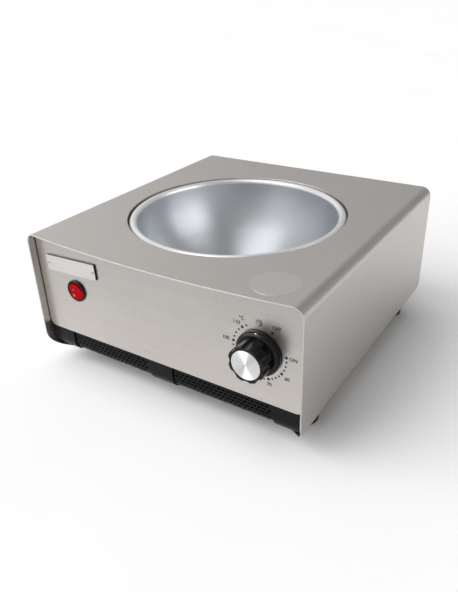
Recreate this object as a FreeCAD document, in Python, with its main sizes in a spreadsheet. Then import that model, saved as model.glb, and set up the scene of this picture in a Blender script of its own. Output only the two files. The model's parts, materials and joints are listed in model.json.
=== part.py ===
import FreeCAD, Part
import math
import os
import re
import Sketcher

# Table-top candle wax melter: a bent steel cover with a spun bowl sunk in its top,
# a recessed control panel and a black base tray with two fields of vent slots.
# Millimetres, +X to the right, +Y to the back, +Z up, ground at Z = 0.

# Driving dimensions: name, value
DIMENSIONS = [
    # Cover
    ("cover_width", 300),
    ("cover_depth", 308),
    ("cover_height", 135),
    ("cover_sheet", 1.2),
    ("top_bend", 10),
    ("bottom_bend", 18),
    ("side_corner", 24),
    ("front_bow", 9),
    ("flange_width", 45),
    ("flange_setback", 30),
    ("bowl_margin", 38.5),
    ("bowl_shift", 8),
    # Front and rear panels
    ("panel_recess", 8),
    ("panel_sheet", 1.2),
    ("panel_lift", 29),
    ("panel_side_gap", 1.0),
    ("panel_corner", 7),
    ("panel_top_corner", 10),
    ("panel_flange", 10),
    # Base tray
    ("tray_sheet", 1.2),
    ("tray_bend", 14),
    ("tray_rear_bend", 12),
    ("tray_side_gap", 0.8),
    ("tray_bend_gap", 0.3),
    ("lip_overlap", 8),
    ("press_depth", 1.5),
    ("press_overlap", 1),
    ("left_grille_inset", 32),
    ("left_grille_end", 16.6),
    ("right_grille_start", 10.8),
    ("right_grille_inset", 31),
    ("slot_length", 3.4),
    ("slot_width", 1.7),
    ("slot_pitch", 5),
    ("slot_row_pitch", 3.5),
    ("slot_first", 3.9),
    ("slot_rows", 7),
    ("slot_margin", 2),
    # Bowl and the ring that carries it
    ("bowl_sheet", 1.5),
    ("bowl_depth", 88),
    ("wall_arc_drop", 18),
    ("lip_gap", 1.2),
    ("lip_bead", 4),
    ("lip_skirt", 5),
    ("lip_drop", 0.5),
    ("ring_sheet", 1.2),
    ("ring_gap", 0.4),
    ("ring_flange", 9),
    ("ring_ledge_gap", 1.0),
    # Heater under the bowl
    ("stud_radius", 3),
    ("stud_length", 26),
    ("stud_fit", 0.2),
    ("heater_radius", 45),
    ("heater_tube", 4),
    ("heater_gap", 0.3),
    ("heater_opening", 30),
    ("heater_leg_radius", 3),
    ("heater_leg", 14),
    ("spider_hub", 15),
    ("spider_arm_width", 12),
    ("spider_overreach", 7),
    ("spider_sheet", 1.5),
    ("stud_nut_height", 5),
    ("stud_nut_flats", 10),
    ("spacer_radius", 5),
    ("spacer_height", 8),
    ("shield_radius", 78),
    ("shield_sheet", 1),
    ("shield_rim", 9),
    ("shield_port", 7),
    # Thermostat and knob
    ("knob_inset", 43.5),
    ("knob_height", 78.4),
    ("knob_gap", 0.8),
    ("knob_length", 21),
    ("skirt_radius", 20.8),
    ("skirt_edge", 1.6),
    ("skirt_height", 5.2),
    ("skirt_wall", 1.4),
    ("skirt_hollow", 3.2),
    ("grip_radius", 16.8),
    ("grip_edge", 0.8),
    ("flute_radius", 6.2),
    ("flute_depth", 1.9),
    ("flute_count", 8),
    ("cap_radius", 13.3),
    ("cap_sheet", 1),
    ("cap_fit", 0.05),
    ("shaft_radius", 3),
    ("shaft_flat", 1.5),
    ("shaft_fit", 0.05),
    ("shaft_in_knob", 12.5),
    ("shaft_in_body", 9),
    ("bush_radius", 5),
    ("bush_fit", 0.2),
    ("bush_proud", 2),
    ("boss_gap", 0.6),
    ("thermostat_width", 36),
    ("thermostat_height", 30),
    ("thermostat_plate", 1.5),
    ("thermostat_cup", 14.5),
    ("thermostat_depth", 20),
    ("thermostat_screw_spread", 24),
    # Rocker switch
    ("switch_inset", 50.1),
    ("switch_height", 81),
    ("bezel_radius", 11.4),
    ("bezel_height", 2.2),
    ("bezel_edge", 1.1),
    ("barrel_radius", 10.4),
    ("barrel_fit", 0.1),
    ("barrel_length", 20),
    ("rocker_radius", 8.9),
    ("rocker_gap", 0.85),
    ("rocker_well", 7),
    ("rocker_pivot_depth", 3),
    ("rocker_back", 2.4),
    ("rocker_rise", 2.9),
    ("rocker_dish", 0.9),
    ("rocker_tilt", 5),
    ("pivot_radius", 1),
    ("pivot_fit", 0.1),
    ("pivot_end_gap", 0.1),
    ("blade_width", 4.8),
    ("blade_sheet", 0.8),
    ("blade_length", 9),
    ("blade_pitch", 6),
    # Pilot lamp above the knob
    ("lamp_above_knob", 27.85),
    ("lens_radius", 3.5),
    ("lens_height", 1.8),
    ("lamp_radius", 3),
    ("lamp_fit", 0.15),
    ("lamp_length", 16),
    ("lamp_stem", 1.8),
    ("lamp_stem_length", 4),
    # Bare name plate
    ("plate_inset", 48),
    ("plate_height", 106.6),
    ("plate_width", 64.3),
    ("plate_tall", 16.1),
    ("plate_sheet", 1.8),
    ("plate_corner", 1),
    ("plate_tilt", 2.3),
    ("rivet_spread", 59),
    ("rivet_radius", 0.8),
    ("rivet_head_radius", 1.2),
    ("rivet_head", 0.4),
    ("rivet_fit", 0.1),
    # Power inlet in the rear panel
    ("inlet_inset", 55),
    ("inlet_height", 70),
    ("inlet_flange_width", 50),
    ("inlet_flange_tall", 24),
    ("inlet_flange", 3),
    ("inlet_flange_corner", 5),
    ("inlet_body_width", 28),
    ("inlet_body_tall", 20),
    ("inlet_body_depth", 17),
    ("inlet_fit", 0.3),
    ("inlet_wall", 2),
    ("inlet_floor", 3),
    ("inlet_screw_spread", 40),
    ("pin_width", 2),
    ("pin_tall", 4),
    ("pin_length", 16),
    ("pin_spread", 7),
    ("pin_stagger", 2),
    # Rear vents
    ("rear_vent_inset", 55),
    ("rear_vent_height", 62),
    ("rear_vent_width", 3.5),
    ("rear_vent_tall", 34),
    ("rear_vent_pitch", 9),
    ("rear_vent_count", 10),
    # Feet and screws
    ("foot_height", 12),
    ("foot_radius", 16),
    ("foot_taper", 1),
    ("foot_inset", 25),
    ("foot_front", 54),
    ("foot_rear", 31),
    ("foot_bore", 5),
    ("foot_bore_depth", 6),
    ("screw_radius", 2),
    ("screw_fit", 0.2),
    ("screw_head_radius", 3.5),
    ("screw_head", 2.4),
    ("screw_tail", 1.5),
    ("nut_height", 3.2),
    ("nut_flats", 7),
    ("small_screw_radius", 1.5),
    ("small_head_radius", 2.8),
    ("small_head", 1.8),
    ("small_screw_length", 8),
    ("rear_screw_inset", 33),
    ("rear_screw_rise", 4),
    # Terminal block and earth stud on the tray
    ("block_inset", 90),
    ("block_rear", 60),
    ("block_width", 42),
    ("block_depth", 18),
    ("block_height", 15),
    ("block_bore", 2),
    ("block_pitch", 12),
    ("earth_inset", 56),
    ("earth_rear", 80),
    ("earth_length", 16),
]
NAMES = {name for name, value in DIMENSIONS}

# Planes and heights that several pieces share
OVERHANG = "(knob_gap + knob_length - panel_recess)"
FRONT = f"(-(cover_depth - {OVERHANG}) / 2)"
REAR = f"({FRONT} + cover_depth)"
SEAT = "foot_height"
TOP = "(foot_height + cover_height)"
HALF = "(cover_width / 2)"
CEILING = f"({TOP} - cover_sheet)"
FACE = f"({FRONT} + panel_recess)"
FACE_BACK = f"({FACE} + panel_sheet)"
BACK = f"({REAR} - panel_recess)"
BACK_INNER = f"({BACK} - panel_sheet)"
PANEL_BOTTOM = "(foot_height + panel_lift)"
FLOOR = "(foot_height + cover_sheet)"
FLOOR_TOP = f"({FLOOR} + tray_sheet)"
BOWL_Y = f"({FRONT} + cover_depth / 2 - bowl_shift)"
HOLE_RADIUS = "(min(cover_width; cover_depth) / 2 - bowl_margin)"
KNOB_X, KNOB_Z = f"({HALF} - knob_inset)", "(foot_height + knob_height)"
SWITCH_X, SWITCH_Z = f"(switch_inset - {HALF})", "(foot_height + switch_height)"
LAMP_Z = f"({KNOB_Z} + lamp_above_knob)"
PLATE_X, PLATE_Z = f"(plate_inset - {HALF})", "(foot_height + plate_height)"
INLET_X, INLET_Z = f"({HALF} - inlet_inset)", "(foot_height + inlet_height)"
BLOCK_X, BLOCK_Y = f"({HALF} - block_inset)", f"({REAR} - block_rear)"
EARTH_X, EARTH_Y = f"({HALF} - earth_inset)", f"({REAR} - earth_rear)"

# Bowl levels: inner wall radius, bead centre, inside bottom and the arc of the bottom
LIP_RADIUS = f"({HOLE_RADIUS} - lip_gap)"
WALL_RADIUS = f"({LIP_RADIUS} - 2 * lip_bead)"
BEAD_Z = f"({TOP} - lip_drop - lip_bead)"
BOTTOM_Z = f"({TOP} - lip_drop - bowl_depth)"
UNDER_Z = f"({BOTTOM_Z} - bowl_sheet)"
WALL_ARC = "(bowl_depth - wall_arc_drop)"
ARC_X = f"({WALL_RADIUS} - {WALL_ARC})"
ARC_DROP = "(bowl_depth - lip_bead)"
BASE_ARC = (f"(({ARC_X}^2 + {ARC_DROP}^2 - {WALL_ARC}^2)"
            f" / (2 * ({ARC_DROP} - {WALL_ARC})))")
LEDGE_Z = f"({BEAD_Z} - lip_skirt)"
HEATER_REACH = f"({BASE_ARC} + bowl_sheet + heater_gap + heater_tube)"
HEATER_Z = f"({BOTTOM_Z} + {BASE_ARC} - sqrt({HEATER_REACH}^2 - heater_radius^2))"
SPIDER_TOP = f"(min({UNDER_Z}; {HEATER_Z} - heater_tube) - heater_gap)"
SPIDER_BOTTOM = f"({SPIDER_TOP} - spider_sheet)"
SPACER_TOP = f"({SPIDER_BOTTOM} - stud_nut_height)"
SHIELD_TOP = f"({SPACER_TOP} - spacer_height)"
SHIELD_BOTTOM = f"({SHIELD_TOP} - shield_sheet)"

doc = FreeCAD.newDocument("wax_melter")
sheet = doc.addObject("Spreadsheet::Sheet", "Dims")
for row, (name, value) in enumerate(DIMENSIONS, 1):
    sheet.set(f"A{row}", name)
    sheet.set(f"B{row}", str(value))
    sheet.setAlias(f"B{row}", name)
doc.recompute()


def bind(text):
    """The expression with each dimension's name pointing at its cell."""
    return re.sub(r"[a-z_]+", lambda m: "Dims." + m.group() if m.group() in NAMES else m.group(), text)


def number(text):
    """The present value of an expression."""
    return float(sheet.evalExpression(bind(text)))


# Sketches

def new_sketch(body, role, offset=None):
    """A sketch on one of the body's own origin planes, moved along its normal."""
    sketch = body.newObject("Sketcher::SketchObject", body.Name + "_sketch")
    plane = next(item for item in body.Origin.OriginFeatures if item.Role == role)
    sketch.AttachmentSupport = (plane, [""])
    sketch.MapMode = "FlatFace"
    if offset:
        sketch.setExpression("AttachmentOffset.Base.z", bind(offset))
    return sketch


def pin_point(sketch, geometry, place, x, y):
    """Tie a point to two expressions."""
    for kind, text in (("DistanceX", x), ("DistanceY", y)):
        index = sketch.addConstraint(
            Sketcher.Constraint(kind, -1, 1, geometry, place, number(text)))
        sketch.setExpression(f"Constraints[{index}]", bind(text))


def add_arc(sketch, start, end, radius, turn):
    """An arc between two points that turns left or right on its way."""
    side = 1 if turn == "left" else -1
    chord = end - start
    half = chord.Length / 2
    rise = math.sqrt(max(radius ** 2 - half ** 2, 0))
    normal = FreeCAD.Vector(-chord.y, chord.x, 0).normalize()
    centre = (start + end) / 2 + normal * rise * side
    first, last = (start, end) if turn == "left" else (end, start)
    angles = [math.atan2(p.y - centre.y, p.x - centre.x) for p in (first, last)]
    circle = Part.Circle(centre, FreeCAD.Vector(0, 0, 1), radius)
    return sketch.addGeometry(Part.ArcOfCircle(circle, angles[0], angles[1]))


def add_loop(sketch, path):
    """A closed loop: (x, y) is reached by a line, (x, y, radius, turn) by an arc."""
    points = [FreeCAD.Vector(number(p[0]), number(p[1]), 0) for p in path]
    edges = []
    for index, target in enumerate(path[1:] + path[:1]):
        start = points[index]
        end = points[(index + 1) % len(path)]
        if len(target) == 2:
            geometry = sketch.addGeometry(Part.LineSegment(start, end))
            edges.append((geometry, 1, 2))
        else:
            radius, turn = target[2:]
            geometry = add_arc(sketch, start, end, number(radius), turn)
            constraint = sketch.addConstraint(
                Sketcher.Constraint("Radius", geometry, number(radius)))
            sketch.setExpression(f"Constraints[{constraint}]", bind(radius))
            edges.append((geometry, 1, 2) if turn == "left" else (geometry, 2, 1))
    for index, (geometry, begin, finish) in enumerate(edges):
        following, begin_next, unused = edges[(index + 1) % len(edges)]
        sketch.addConstraint(
            Sketcher.Constraint("Coincident", geometry, finish, following, begin_next))
        pin_point(sketch, geometry, begin, path[index][0], path[index][1])


def add_circle(sketch, x, y, radius):
    """A circle on expressions."""
    centre = FreeCAD.Vector(number(x), number(y), 0)
    circle = Part.Circle(centre, FreeCAD.Vector(0, 0, 1), number(radius))
    geometry = sketch.addGeometry(circle)
    pin_point(sketch, geometry, 3, x, y)
    constraint = sketch.addConstraint(
        Sketcher.Constraint("Radius", geometry, number(radius)))
    sketch.setExpression(f"Constraints[{constraint}]", bind(radius))


def rectangle(left, bottom, right, top):
    """The corners of a rectangle."""
    return [(left, bottom), (right, bottom), (right, top), (left, top)]


def round_rectangle(left, bottom, right, top, radius):
    """The path of a rectangle with rounded corners."""
    inner_left, inner_right = f"({left}) + {radius}", f"({right}) - {radius}"
    inner_bottom, inner_top = f"({bottom}) + {radius}", f"({top}) - {radius}"
    return [(left, inner_bottom), (inner_left, bottom, radius, "left"),
            (inner_right, bottom), (right, inner_bottom, radius, "left"),
            (right, inner_top), (inner_right, top, radius, "left"),
            (inner_left, top), (left, inner_top, radius, "left")]


def corner_trim(x, y, radius, side_x, side_y, reach):
    """The waste outside a rounded corner at (x, y), towards side_x and side_y."""
    out_x, out_y = f"{x} + ({side_x}) * {reach}", f"{y} + ({side_y}) * {reach}"
    in_x, in_y = f"{x} - ({side_x}) * {radius}", f"{y} - ({side_y}) * {radius}"
    turn = "right" if side_x * side_y > 0 else "left"
    return [(in_x, out_y), (in_x, y), (x, in_y, radius, turn), (out_x, in_y), (out_x, out_y)]


# Bodies and features

LEAST_CUT = 0.01  # cubic millimetres


def new_body(label):
    """An empty part design body."""
    body = doc.addObject("PartDesign::Body", label)
    body.Label = label
    return body


def set_place(piece, x="0", y="0", z="0"):
    """Tie a piece's position to expressions."""
    for axis, text in (("x", x), ("y", y), ("z", z)):
        piece.setExpression(f"Placement.Base.{axis}", bind(text))


def face_forward(piece):
    """Turn a piece that is drawn upright so that its +Z looks to the front."""
    piece.Placement.Rotation = FreeCAD.Rotation(FreeCAD.Vector(1, 0, 0), 90)


def face_back(piece):
    """Turn a piece that is drawn upright so that its +Z looks to the back."""
    piece.Placement.Rotation = FreeCAD.Rotation(180, 0, 90)


def add_pad(body, sketch, length, both=False, reverse=False):
    """Grow the sketch along its normal, or to both sides."""
    pad = body.newObject("PartDesign::Pad", body.Name + "_pad")
    pad.Profile = sketch
    pad.setExpression("Length", bind(length))
    pad.Midplane = both
    pad.Reversed = reverse
    return pad


def add_pocket(body, sketch, length=None, reverse=False):
    """Cut the sketch to a depth, or through everything on both sides, and check that it cut."""
    doc.recompute()
    before = body.Shape.Volume
    pocket = body.newObject("PartDesign::Pocket", body.Name + "_pocket")
    pocket.Profile = sketch
    if length:
        pocket.setExpression("Length", bind(length))
    else:
        pocket.Type = "ThroughAll"
        pocket.Midplane = True
    pocket.Reversed = reverse
    doc.recompute()
    if before - body.Shape.Volume < LEAST_CUT:
        raise ValueError(f"{body.Label}: a pocket cuts nothing")
    return pocket


def add_turn(body, sketch):
    """Turn the sketch round its vertical axis."""
    turn = body.newObject("PartDesign::Revolution", body.Name + "_turn")
    turn.Profile = sketch
    turn.ReferenceAxis = (sketch, ["V_Axis"])
    turn.Angle = 360
    return turn


def turned_body(label, path):
    """A body turned from one closed path of radius and height."""
    body = new_body(label)
    sketch = new_sketch(body, "XZ_Plane")
    add_loop(sketch, path)
    add_turn(body, sketch)
    return body


def cut_holes(body, role, holes, offset=None, length=None, reverse=False):
    """Cut round holes (x, y, radius) from one sketch."""
    sketch = new_sketch(body, role, offset)
    for x, y, radius in holes:
        add_circle(sketch, x, y, radius)
    return add_pocket(body, sketch, length, reverse)


def cut_loops(body, role, loops, offset=None, length=None, reverse=False):
    """Cut closed loops from one sketch."""
    sketch = new_sketch(body, role, offset)
    for loop in loops:
        add_loop(sketch, loop)
    return add_pocket(body, sketch, length, reverse)


# Where screws and rivets stand

FOOT_PLACES = [(f"{side} * ({HALF} - foot_inset)", place)
               for place in (f"({FRONT} + foot_front)", f"({REAR} - foot_rear)")
               for side in ("-1", "1")]
REAR_SCREW_PLACES = [f"{step} * ({HALF} - rear_screw_inset)" for step in ("-1", "-1 / 3", "1 / 3", "1")]
REAR_SCREW_Z = f"({PANEL_BOTTOM} + rear_screw_rise)"
SCREW_HOLE = "(screw_radius + screw_fit)"
SMALL_HOLE = "(small_screw_radius + screw_fit)"


# Cover: one sheet bent over the top, down both sides and in under the body

def make_cover():
    body = new_body("cover")
    flange = f"({HALF} - flange_width)"
    foot_bend = f"({HALF} - bottom_bend)"
    head_bend = f"({HALF} - top_bend)"
    inner = f"({HALF} - cover_sheet)"
    low = f"({SEAT} + bottom_bend)"
    high = f"({TOP} - top_bend)"
    section = new_sketch(body, "XZ_Plane", f"-{FRONT} + front_bow")
    add_loop(section, [
        (flange, SEAT), (foot_bend, SEAT), (HALF, low, "bottom_bend", "left"),
        (HALF, high), (head_bend, TOP, "top_bend", "left"),
        (f"-{head_bend}", TOP), (f"-{HALF}", high, "top_bend", "left"),
        (f"-{HALF}", low), (f"-{foot_bend}", SEAT, "bottom_bend", "left"),
        (f"-{flange}", SEAT), (f"-{flange}", FLOOR),
        (f"-{foot_bend}", FLOOR), (f"-{inner}", low, "(bottom_bend - cover_sheet)", "right"),
        (f"-{inner}", high), (f"-{head_bend}", CEILING, "(top_bend - cover_sheet)", "right"),
        (head_bend, CEILING), (inner, high, "(top_bend - cover_sheet)", "right"),
        (inner, low), (foot_bend, FLOOR, "(bottom_bend - cover_sheet)", "right"),
        (flange, FLOOR)])
    add_pad(body, section, "cover_depth + front_bow", reverse=True)

    # The front edge bows out in plan between the two sides
    bow_radius = f"(({inner}^2 + front_bow^2) / (2 * front_bow))"
    outside = f"({HALF} + cover_sheet)"
    ahead = f"({FRONT} - 2 * front_bow)"
    cut_loops(body, "XY_Plane", [[
        (f"-{outside}", ahead), (outside, ahead), (outside, FRONT), (inner, FRONT),
        (f"-{inner}", FRONT, bow_radius, "right"), (f"-{outside}", FRONT)]])

    # The sides' lower corners are rounded at the front and at the back
    cut_loops(body, "YZ_Plane", [
        corner_trim(FRONT, SEAT, "side_corner", -1, -1, "(2 * front_bow)"),
        corner_trim(REAR, SEAT, "side_corner", 1, -1, "cover_sheet")])

    # The flanges under the body start behind the tray's front bend
    cut_loops(body, "XY_Plane", [rectangle(
        f"-{foot_bend}", FRONT, foot_bend, f"{FRONT} + flange_setback")],
        offset=f"{SEAT} - cover_sheet", length="3 * cover_sheet", reverse=True)

    cut_holes(body, "XY_Plane", [("0", BOWL_Y, HOLE_RADIUS)],
              offset=f"{TOP} + cover_sheet", length="3 * cover_sheet")
    cut_holes(body, "XY_Plane", [(x, y, SCREW_HOLE) for x, y in FOOT_PLACES],
              offset=f"{SEAT} - cover_sheet", length="3 * cover_sheet", reverse=True)
    return body


# Front and rear panels: a sheet with its top edge bent in under the cover

def make_panel(label, face, inward):
    """The blank of a panel whose outer face stands at y = face."""
    body = new_body(label)
    near = f"({face} + {inward} * panel_sheet)"
    bend = f"({face} + {inward} * 2 * panel_sheet)"
    tip = f"({face} + {inward} * panel_flange)"
    knee = f"({CEILING} - 2 * panel_sheet)"
    under = f"({CEILING} - panel_sheet)"
    out_turn, in_turn = ("left", "right") if inward > 0 else ("right", "left")
    half_width = f"({HALF} - cover_sheet - panel_side_gap)"
    section = new_sketch(body, "YZ_Plane")
    add_loop(section, [
        (face, PANEL_BOTTOM), (near, PANEL_BOTTOM), (near, knee),
        (bend, under, "panel_sheet", in_turn), (tip, under), (tip, CEILING),
        (bend, CEILING), (face, knee, "(2 * panel_sheet)", out_turn)])
    add_pad(body, section, f"2 * {half_width}", both=True)
    trims = []
    for side in (-1, 1):
        edge = f"({side} * {half_width})"
        trims.append(corner_trim(edge, PANEL_BOTTOM, "panel_corner", side, -1, "panel_sheet"))
        trims.append(corner_trim(edge, CEILING, "panel_top_corner", side, 1, "panel_sheet"))
    cut_loops(body, "XZ_Plane", trims)
    return body


def rivet_places():
    """Centres of the two rivets along the tilted name plate."""
    run = "(rivet_spread / 2 * cos(plate_tilt * 1deg))"
    rise = "(rivet_spread / 2 * sin(plate_tilt * 1deg))"
    return [(f"({PLATE_X} - {run})", f"({PLATE_Z} - {rise})"),
            (f"({PLATE_X} + {run})", f"({PLATE_Z} + {rise})")]


def thermostat_screw_places():
    return [(f"({KNOB_X} + {side} * thermostat_screw_spread / 2)", KNOB_Z) for side in ("-1", "1")]


def make_front_panel():
    body = make_panel("front_panel", FACE, 1)
    holes = [(SWITCH_X, SWITCH_Z, "(barrel_radius + barrel_fit)"),
             (KNOB_X, KNOB_Z, "(bush_radius + bush_fit)"),
             (KNOB_X, LAMP_Z, "(lamp_radius + lamp_fit)")]
    holes += [(x, z, SMALL_HOLE) for x, z in thermostat_screw_places()]
    holes += [(x, z, "(rivet_radius + rivet_fit)") for x, z in rivet_places()]
    cut_holes(body, "XZ_Plane", holes)
    return body


def inlet_screw_places():
    return [(f"({INLET_X} + {side} * inlet_screw_spread / 2)", INLET_Z) for side in ("-1", "1")]


def make_rear_panel():
    body = make_panel("rear_panel", BACK, -1)
    holes = [(x, z, SMALL_HOLE) for x, z in inlet_screw_places()]
    holes += [(x, REAR_SCREW_Z, SMALL_HOLE) for x in REAR_SCREW_PLACES]
    cut_holes(body, "XZ_Plane", holes)
    half_width = "(inlet_body_width / 2 + inlet_fit)"
    half_tall = "(inlet_body_tall / 2 + inlet_fit)"
    cut_loops(body, "XZ_Plane", [rectangle(
        f"{INLET_X} - {half_width}", f"{INLET_Z} - {half_tall}",
        f"{INLET_X} + {half_width}", f"{INLET_Z} + {half_tall}")])

    # A row of upright vent slots
    first = f"(rear_vent_inset - {HALF} - rear_vent_pitch * (rear_vent_count - 1) / 2)"
    sketch = new_sketch(body, "XZ_Plane")
    vent_z = "(foot_height + rear_vent_height)"
    add_loop(sketch, rectangle(
        f"{first} - rear_vent_width / 2", f"{vent_z} - rear_vent_tall / 2",
        f"{first} + rear_vent_width / 2", f"{vent_z} + rear_vent_tall / 2"))
    pocket = add_pocket(body, sketch)
    row = body.newObject("PartDesign::LinearPattern", "vent_row")
    row.Originals = [pocket]
    row.Direction = (sketch, ["H_Axis"])
    row.setExpression("Length", bind("rear_vent_pitch * (rear_vent_count - 1)"))
    row.setExpression("Occurrences", bind("rear_vent_count"))
    body.Tip = row
    return body


# Base tray: black sheet, curved up at the front and the back, with two pressed grilles

TRAY_FRONT = FACE_BACK
TRAY_REAR = BACK_INNER
BEND_Z = f"({FLOOR} + tray_bend)"
LIP_TOP = f"({PANEL_BOTTOM} + lip_overlap)"
BEND_Y = f"({TRAY_FRONT} + tray_bend)"
BROW = f"({PANEL_BOTTOM} + press_overlap)"
GRILLES = [(f"(left_grille_inset - {HALF})", f"({HALF} - left_grille_inset - left_grille_end)"),
           ("right_grille_start", f"({HALF} - right_grille_inset - right_grille_start)")]


def make_tray_blank():
    body = new_body("tray_blank")
    half_width = f"({HALF} - cover_sheet - tray_side_gap)"
    inner = "(tray_bend - tray_sheet)"
    rear_inner = "(tray_rear_bend - tray_sheet)"
    rear_y = f"({TRAY_REAR} - tray_rear_bend)"
    rear_z = f"({FLOOR} + tray_rear_bend)"
    section = new_sketch(body, "YZ_Plane")
    add_loop(section, [
        (TRAY_FRONT, LIP_TOP), (TRAY_FRONT, BEND_Z), (BEND_Y, FLOOR, "tray_bend", "left"),
        (rear_y, FLOOR), (TRAY_REAR, rear_z, "tray_rear_bend", "left"),
        (TRAY_REAR, LIP_TOP), (f"({TRAY_REAR} - tray_sheet)", LIP_TOP),
        (f"({TRAY_REAR} - tray_sheet)", rear_z), (rear_y, FLOOR_TOP, rear_inner, "right"),
        (BEND_Y, FLOOR_TOP), (f"({TRAY_FRONT} + tray_sheet)", BEND_Z, inner, "right"),
        (f"({TRAY_FRONT} + tray_sheet)", LIP_TOP)])
    add_pad(body, section, f"2 * {half_width}", both=True)

    # Each grille is pressed in: metal added behind it, then its face cut back
    deep = "(tray_sheet + press_depth)"
    for start, width in GRILLES:
        backing = new_sketch(body, "YZ_Plane", f"{start} - tray_sheet")
        add_loop(backing, [
            (f"({TRAY_FRONT} + tray_sheet)", f"({BROW} + tray_sheet)"),
            (f"({TRAY_FRONT} + tray_sheet)", BEND_Z), (BEND_Y, FLOOR_TOP, inner, "left"),
            (f"({BEND_Y} + tray_sheet)", FLOOR_TOP),
            (f"({BEND_Y} + tray_sheet)", f"({FLOOR} + {deep})"), (BEND_Y, f"({FLOOR} + {deep})"),
            (f"({TRAY_FRONT} + {deep})", BEND_Z, f"(tray_bend - {deep})", "right"),
            (f"({TRAY_FRONT} + {deep})", f"({BROW} + tray_sheet)")])
        add_pad(body, backing, f"{width} + 2 * tray_sheet")
        cut_loops(body, "YZ_Plane", [[
            (f"({TRAY_FRONT} - press_depth)", BROW),
            (f"({TRAY_FRONT} - press_depth)", f"({FLOOR} - press_depth)"),
            (BEND_Y, f"({FLOOR} - press_depth)"), (BEND_Y, f"({FLOOR} + press_depth)"),
            (f"({TRAY_FRONT} + press_depth)", BEND_Z, "(tray_bend - press_depth)", "right"),
            (f"({TRAY_FRONT} + press_depth)", BROW)]],
            offset=start, length=width, reverse=True)

    # The lower edges clear the cover's inner bends
    bend = "(bottom_bend - cover_sheet - tray_bend_gap)"
    cut_loops(body, "XZ_Plane", [
        corner_trim(f"({side} * {half_width})", FLOOR, bend, side, -1, "tray_sheet")
        for side in (-1, 1)])

    holes = [(x, y, SCREW_HOLE) for x, y in FOOT_PLACES]
    holes.append((EARTH_X, EARTH_Y, SCREW_HOLE))
    cut_holes(body, "XY_Plane", holes, offset=f"{FLOOR} - tray_sheet",
              length="3 * tray_sheet", reverse=True)
    cut_holes(body, "XZ_Plane", [(x, REAR_SCREW_Z, SMALL_HOLE) for x in REAR_SCREW_PLACES],
              offset=f"-{TRAY_REAR} - tray_sheet", length="3 * tray_sheet", reverse=True)
    return body


def slot_place(run, flat, radius):
    """Where a slot stands: its run down the sheet, first upright, then round the bend."""
    edge = number(BEND_Z)
    if run < flat:
        return FreeCAD.Placement(FreeCAD.Vector(0, number(BEND_Y), edge + flat - run),
                                 FreeCAD.Rotation())
    turn = FreeCAD.Rotation(FreeCAD.Vector(1, 0, 0), math.degrees((run - flat) / radius))
    return FreeCAD.Placement(FreeCAD.Vector(0, number(BEND_Y), edge), turn)


def make_slot_cutters():
    """Boxes for the staggered vent slots, set square to the pressed grilles."""
    radius = number("tray_bend - press_depth")
    flat = number(f"{BROW} - {BEND_Z}")
    depth = 3 * number("tray_sheet")
    length, width = number("slot_length"), number("slot_width")
    pitch, margin = number("slot_pitch"), number("slot_margin")
    boxes = []
    for row in range(int(number("slot_rows"))):
        place = slot_place(number("slot_first") + row * number("slot_row_pitch"), flat, radius)
        shift = (row % 2) * pitch / 2
        for start, size in GRILLES:
            first = number(start) + margin + shift
            room = number(size) - 2 * margin - length - shift
            for column in range(int(room / pitch) + 1):
                corner = FreeCAD.Vector(first + column * pitch, -radius - depth / 3, -width / 2)
                box = Part.makeBox(length, depth, width, corner)
                box.Placement = place * box.Placement
                boxes.append(box)
    cutters = doc.addObject("Part::Feature", "slot_cutters")
    cutters.Shape = Part.makeCompound(boxes)
    return cutters


def make_base_tray():
    tray = doc.addObject("Part::Cut", "base_tray")
    tray.Base = make_tray_blank()
    tray.Tool = make_slot_cutters()
    return tray


# Bowl: spun sheet with a rolled lip, turned about its own axis

def make_bowl():
    thick = "bowl_sheet"
    centre_z = f"({BOTTOM_Z} + {BASE_ARC})"
    span = f"({BASE_ARC} - {WALL_ARC})"

    def join(extra):
        """Where the bottom arc meets the wall arc, on the inside or the outside."""
        reach = f"({BASE_ARC} + {extra})"
        return f"({reach} * {ARC_X} / {span})", f"({centre_z} + {reach} * ({BEAD_Z} - {centre_z}) / {span})"

    skirt = f"({BEAD_Z} - lip_skirt)"
    tube = f"(lip_bead - {thick})"
    inside_x, inside_z = join("0")
    outside_x, outside_z = join(thick)
    bowl = turned_body("bowl", [
        ("0", BOTTOM_Z), (inside_x, inside_z, BASE_ARC, "left"),
        (WALL_RADIUS, BEAD_Z, WALL_ARC, "left"),
        (f"({WALL_RADIUS} + lip_bead)", f"({BEAD_Z} + lip_bead)", "lip_bead", "right"),
        (LIP_RADIUS, BEAD_Z, "lip_bead", "right"), (LIP_RADIUS, skirt),
        (f"({LIP_RADIUS} - {thick})", skirt), (f"({LIP_RADIUS} - {thick})", BEAD_Z),
        (f"({WALL_RADIUS} + lip_bead)", f"({BEAD_Z} + {tube})", tube, "left"),
        (f"({WALL_RADIUS} + {thick})", BEAD_Z, tube, "left"),
        (outside_x, outside_z, f"({WALL_ARC} + {thick})", "right"),
        ("0", UNDER_Z, f"({BASE_ARC} + {thick})", "right")])
    set_place(bowl, y=BOWL_Y)
    return bowl


def make_support_ring():
    """The ring welded under the cover; the bowl's skirt stands on its ledge."""
    wall = f"({HOLE_RADIUS} + ring_gap)"
    outer = f"({wall} + ring_sheet)"
    rim = f"({outer} + ring_flange)"
    ledge = f"({WALL_RADIUS} + bowl_sheet + ring_ledge_gap)"
    ring = turned_body("support_ring", [
        (ledge, f"({LEDGE_Z} - ring_sheet)"), (outer, f"({LEDGE_Z} - ring_sheet)"),
        (outer, f"({CEILING} - ring_sheet)"), (rim, f"({CEILING} - ring_sheet)"),
        (rim, CEILING), (wall, CEILING), (wall, LEDGE_Z), (ledge, LEDGE_Z)])
    set_place(ring, y=BOWL_Y)
    return ring


# Heater, hung from a stud under the bowl

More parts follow.
